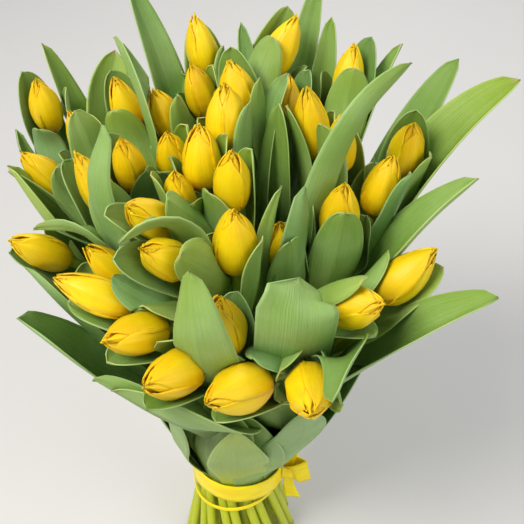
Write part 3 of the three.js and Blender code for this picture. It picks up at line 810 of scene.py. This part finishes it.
def roomAt(point, i):
    # how far a point lies from the nearest bud but its own
    gaps = []
    for j, row in enumerate(tulips):
        if j != i:
            along = max(0, min(bloom["length"] * row[5], (point - budBase[j]).dot(budAxis[j])))
            gaps.append((point - budBase[j] - budAxis[j] * along).length - bloom["radius"] * row[6])
    return min(gaps)


def bentClear(point, middle):
    # a blade lies over the buds in its way, on the side where its midrib is
    for j, row in enumerate(tulips):
        if (point - budBase[j]).length > clearing["near"]:
            continue
        along = (point - budBase[j]).dot(budAxis[j])
        share = along / (bloom["length"] * row[5])
        if share < clearing["from"] or share > clearing["to"]:
            continue
        radius = bloom["radius"] * row[6] * budRadius(max(0, min(1, share))) + clearing["gap"]
        away = middle - budBase[j]
        away -= budAxis[j] * away.dot(budAxis[j])
        if away.length < 0.01:
            continue
        away.normalize()
        offset = point - (budBase[j] + budAxis[j] * along)
        a, b = offset.dot(away), offset.dot(budAxis[j].cross(away))
        if abs(b) >= radius:
            continue
        need = math.sqrt(radius * radius - b * b)
        if -need - clearing["deepest"] < a < need:
            point = point + away * (need - a)
    return point


def addLeaf(bm, points, facing, width, channel, rng, roll=0, rise=1, blunt=2, ripple=1.0):
    run = throughPoints(points)
    lengths = runLengths(run)
    waves = rng.uniform(1.3, 2.4)
    phase = [rng.uniform(0, anyPhase), rng.uniform(0, anyPhase)]
    strength = ripple * rng.uniform(0.6, 1.6) * width / 40
    curl = rng.uniform(-0.5, 1.0)

    def shape(u, t):
        if t > 0.5:
            t -= blade["closer"] * math.sin(2 * math.pi * t)  # closer rows near the tip
        centre = atShare(run, lengths, t)
        along = aheadAt(run, lengths, t, 0.015)
        face = (facing - along * facing.dot(along)).normalized()
        face = Matrix.Rotation(math.radians(roll) * t, 3, along) @ face
        across = along.cross(face)
        half = width / 2 * leafWidth(t, rise, blunt)
        spread = half * math.sqrt(max(0.1, 1 - channel * channel * 0.6))
        lift = half * channel * creased(u)
        wave = strength * math.sin(waves * anyPhase * t + phase[0 if u < 0 else 1]) * u * u * min(1, t * 3)
        wave += curl * u**4 * min(1, t * 2) + 0.3 * math.sin(7 * u + phase[0]) * min(1, t * 2)
        return bentClear(centre + across * (u * spread) + face * (lift + wave), centre)

    tone = (rng.random(), rng.random(), 0)
    addSheet(bm, blade["across"], blade["along"], shape, tone)


def cuppedLine(i, turn, row):
    upper, lengths, axis = curves[i]["upper"], curves[i]["lengths"], budAxis[i]
    flat = Vector((math.cos(turn), math.sin(turn), 0))
    out = (flat - axis * flat.dot(axis)).normalized()
    clear = bloom["radius"] * tulips[i][6] + cupping["offBud"] + row["outside"]
    off = cupping["offStem"] + 2 * row["outside"]
    past = row["past"] + (i * 17) % 16  # no two buds alike
    points = [
        atShare(upper, lengths, 1 - row["drop"] / lengths[-1]) + out * blade["rootSink"],
        atShare(upper, lengths, 1 - row["drop"] * 0.5 / lengths[-1]) + out * off,
        budBase[i] + axis * cupping["aboveBase"] + out * clear,
        budBase[i] + axis * past + out * (clear + cupping["spread"]),
    ]
    return points, out


def cuppedTurns(i):
    # the sides of the bud with most room, well apart
    count = cupping["sides"]
    turns = [math.radians(tulips[i][3]) + k * (2 * math.pi / count) for k in range(count)]
    sides = []
    for k, turn in enumerate(turns):
        points, _ = cuppedLine(i, turn, cuppedLeaves[0])
        sides.append((-min(roomAt(points[2], i), roomAt(points[3], i)), k))
    taken = []
    for _, k in sorted(sides):
        steps = [min((k - other) % count, (other - k) % count) for other in taken]
        if len(taken) < len(cuppedLeaves) and all(step * 360 / count >= cupping["apart"] for step in steps):
            taken.append(k)
    return [turns[k] for k in taken]


def addLargeLeaves(i, bm, rng):
    for owner, above, middle, tip, width, channel, roll, *blunt in bigLeaves + moreLeaves:
        if owner != i:
            continue
        root, near = pointOnStem(i, above), pointOnStem(i, above + blade["nextAbove"])
        out = Vector((middle[0] - near.x, middle[1] - near.y, 0)).normalized()
        facing = Vector((-out.x, -out.y, blade["faceUp"])).normalized()
        points = [root + out * blade["rootSink"], near + out * blade["offStem"], Vector(middle), Vector(tip)]
        addLeaf(bm, points, facing, width, channel, rng, roll=roll, blunt=blunt[0] if blunt else 2)


def addCuppedLeaves(i, bm, rng):
    for turn, row in zip(cuppedTurns(i), cuppedLeaves):
        points, out = cuppedLine(i, turn, row)
        roll = rng.uniform(-cupping["roll"], cupping["roll"])
        addLeaf(bm, points, -out, row["width"], cupping["channel"], rng, roll, ripple=cupping["ripple"])


def addCollarLeaf(i, bm, rng):
    inner = slots[i]["inner"]
    layer = slots[i]["collar"] % 2 * collar["layer"] - (collar["innerBack"] if inner else 0)
    points = []
    for above, far in collar["line"]:
        p = pointOnStem(i, above * (collar["innerRise"] if inner else 1))
        outside = far + (layer if above > collar["layeredFrom"] else 0)
        points.append(p + Vector((p.x, p.y, 0)).normalized() * outside)
    inward = -Vector((points[2].x, points[2].y, 0)).normalized()
    look = {key: collar[key] for key in ("rise", "blunt", "ripple")}
    addLeaf(bm, points, inward, collar["width"], collar["channel"], rng, **look)


def makeLeaves(pair, members):
    bm = bmesh.new()
    for i in members:
        rng = random.Random(blade["seed"] + i)
        addLargeLeaves(i, bm, rng)
        addCuppedLeaves(i, bm, rng)
        if slots[i]["collar"]:
            addCollarLeaf(i, bm, rng)
    name = f"leaves{pair.replace('_', 'of')}"
    solid = {"thick": blade["thick"], "back": 1}
    return finishPiece(name, bm, [leafUpper, leafUnder], [f"leafy_stems_{pair}"], solid)


for pair, members in sorted(pairs.items()):
    makeLeaves(pair, members)
print("leaves made")

# The ribbon
band = {"height": 24, "thick": 1.0, "below": 8, "rightUp": -4.5, "frontUp": 5, "seat": 4.9, "crinkle": 0.25}
cordLoop = {"height": 4, "thick": 1.4, "below": 34, "rightUp": 8, "frontUp": 2, "seat": 0.5, "crinkle": 0.1}
hoopShape = {"around": 96, "rows": 7, "slack": 0.5, "seed": 9}
bow = {
    "turn": -14,
    "width": 26,
    "knot": 10,
    "loop": 24,
    "tail": 36,
    "rising": 78,
    "across": 8,
    "along": 24,
    "cupped": 0.8,
    "offBand": 1.9,
    "thick": 0.9,
}


def bundleRadius(z):
    # how far the outermost stem reaches at a height near the tie
    far = 0
    for line in curves:
        a, b = line["foot"], line["tie"]
        if z >= bunch["tieHeight"]:
            a, b = b, atShare(line["upper"], line["lengths"], 0.2)
        p = a.lerp(b, (z - a.z) / (b.z - a.z))
        far = max(far, math.hypot(p.x, p.y))
    return far + bunch["stemRadius"]


def loopHeight(row, angle):
    # where a loop's middle line runs, which isn't level
    level = bunch["tieHeight"] - row["below"]
    return level + row["rightUp"] * math.cos(angle) - row["frontUp"] * math.sin(angle)


def hoop(name, node, row):
    phase = random.Random(hoopShape["seed"]).uniform(0, 6)
    crinkle = row["crinkle"]

    def shape(u, t):
        angle = math.pi * u
        z = loopHeight(row, angle)
        edges = (z - row["height"] / 2, z + row["height"] / 2)
        inner = max(bundleRadius(edge) for edge in edges) + row["seat"]
        up = (t - 0.5) * row["height"]
        wave = crinkle * (math.sin(7 * angle + phase + t * 2) + 0.6 * math.sin(13 * angle + 4 * t))
        r = inner + hoopShape["slack"] + abs(wave)
        return Vector((r * math.cos(angle), r * math.sin(angle), z + up + crinkle * math.sin(5 * angle)))

    bm = bmesh.new()
    addSheet(bm, hoopShape["around"], hoopShape["rows"], shape)
    bmesh.ops.recalc_face_normals(bm, faces=bm.faces)
    return finishPiece(name, bm, [ribbonYellow], [node], {"thick": row["thick"], "offset": 1})


hoop("ribbonBand", "ribbon_band", band)
hoop("ribbonCord", "ribbon_cord", cordLoop)


def addStrip(bm, points, widths, out):
    run = throughPoints(points)
    lengths = runLengths(run)
    last = len(widths) - 1

    def shape(u, t):
        centre = atShare(run, lengths, t)
        along = aheadAt(run, lengths, t, 0.02)
        across = along.cross(out).normalized()
        face = across.cross(along).normalized()
        k = min(last - 1, int(t * last))
        width = widths[k] + (widths[k + 1] - widths[k]) * (t * last - k)
        cup = -bow["cupped"] * u * u * (1 - t)
        return centre + across * (u * width / 2) + face * cup

    addSheet(bm, bow["across"], bow["along"], shape, pointed=False)


def makeBow():
    turn = math.radians(bow["turn"])
    z = loopHeight(band, turn)
    start = bundleRadius(z - band["height"] / 2) + band["seat"] + bow["offBand"]
    out = Vector((math.cos(turn), math.sin(turn), 0))
    side = Vector((-out.y, out.x, 0))

    def at(o, s, u):
        return Vector((0, 0, z + u)) + out * (start + o) + side * s

    knot, width, loop, tail = bow["knot"], bow["width"], bow["loop"], bow["tail"]
    half = knot / 2
    bm = bmesh.new()
    # a loop to the right, its front and its back
    for s in (-1, 1):
        points = [at(half, s, 1), at(loop * 0.55, s * 5, 4), at(loop, 0, 6)]
        addStrip(bm, points, [width * 0.5, width, width * 1.1], side)
    # a loop towards the back of the bunch, its outside and its inside
    for first, second in ((1, 6), (-2, -3)):
        points = [at(half + first, 1, 1), at(half + second, 14, 3), at(half, 25, 4)]
        addStrip(bm, points, [width * 0.5, width, width], out)
    # two tails, one hanging and one rising
    hanging = [at(half, -2, -2), at(half + 2, -4, -tail * 0.55), at(half + 6, -5, -tail)]
    addStrip(bm, hanging, [7, 11, 15], side)
    addStrip(bm, [at(half, 1, 2), at(half + 5, 3, 32), at(half + 16, 5, bow["rising"])], [7, 7, 7], side)
    # the knot, wrapped round them
    wrap = [at(0, -half, 0), at(knot, -half * 0.7, 0), at(knot, half * 0.7, 0), at(0, half, 0)]
    addStrip(bm, wrap, [width * 0.7, width * 0.55, width * 0.55, width * 0.7], out)
    return finishPiece("ribbonBow", bm, [ribbonYellow], ["ribbon_bow"], {"thick": bow["thick"]})


makeBow()
print("ribbon made")

# Floor, light and camera
studio = {
    "size": 8.0,
    "floor": (0.62, 0.60, 0.57),
    "floorDark": (0.56, 0.55, 0.53),
    "floorRough": 0.8,
    "sky": (0.9, 0.93, 1),
    "skyStrength": 0.48,
}
bpy.ops.mesh.primitive_plane_add(size=studio["size"], location=(0, 0, 0))
floor = bpy.context.object
floor.name = "floor"
floorPaint, tree, shader = newMaterial("pale floor")
cloudy = noiseAt(tree, objectPlace(tree), (6, 6, 6), 4)
tree.links.new(stained(tree, studio["floor"], studio["floorDark"], cloudy, 0.3), shader.inputs["Base Color"])
shader.inputs["Roughness"].default_value = studio["floorRough"]
floor.data.materials.append(floorPaint)


def areaLight(name, place, aim, size, power, color):
    data = bpy.data.lights.new(name, "AREA")
    data.shape, data.size, data.energy, data.color = "DISK", size, power, color
    lamp = bpy.data.objects.new(name, data)
    lamp.location = place
    lamp.rotation_euler = (Vector(aim) - Vector(place)).to_track_quat("-Z", "Y").to_euler()
    bpy.context.collection.objects.link(lamp)


areaLight("key", (-0.9, -0.7, 1.9), (0, 0, 0.38), 0.9, 38, (1, 0.98, 0.94))
areaLight("fill", (1.4, -1.0, 1.2), (0, 0, 0.35), 1.4, 12, (0.97, 0.98, 1))
areaLight("back", (0.4, 1.6, 1.5), (0, 0, 0.4), 1.0, 14, (1, 1, 1))
world = bpy.data.worlds.new("studio")
world.use_nodes = True
sky = world.node_tree.nodes["Background"].inputs
sky["Color"].default_value = (*studio["sky"], 1)
sky["Strength"].default_value = studio["skyStrength"]
bpy.context.scene.world = world
bpy.context.scene.view_settings.view_transform = "Standard"

# the picture's own point of view: in front, above and looking down
view = {"place": (22.83, -431.5, 776.13), "down": 43, "lens": 55.37, "sensor": 36}
camData = bpy.data.cameras.new("camera")
camData.lens = view["lens"]
camData.sensor_width = camData.sensor_height = view["sensor"]
camData.clip_start = 0.01
camera = bpy.data.objects.new("camera", camData)
camera.location = Vector(view["place"]) * mm
camera.rotation_euler = (math.radians(90 - view["down"]), 0, 0)
bpy.context.collection.objects.link(camera)
bpy.context.scene.camera = camera
print("scene set")
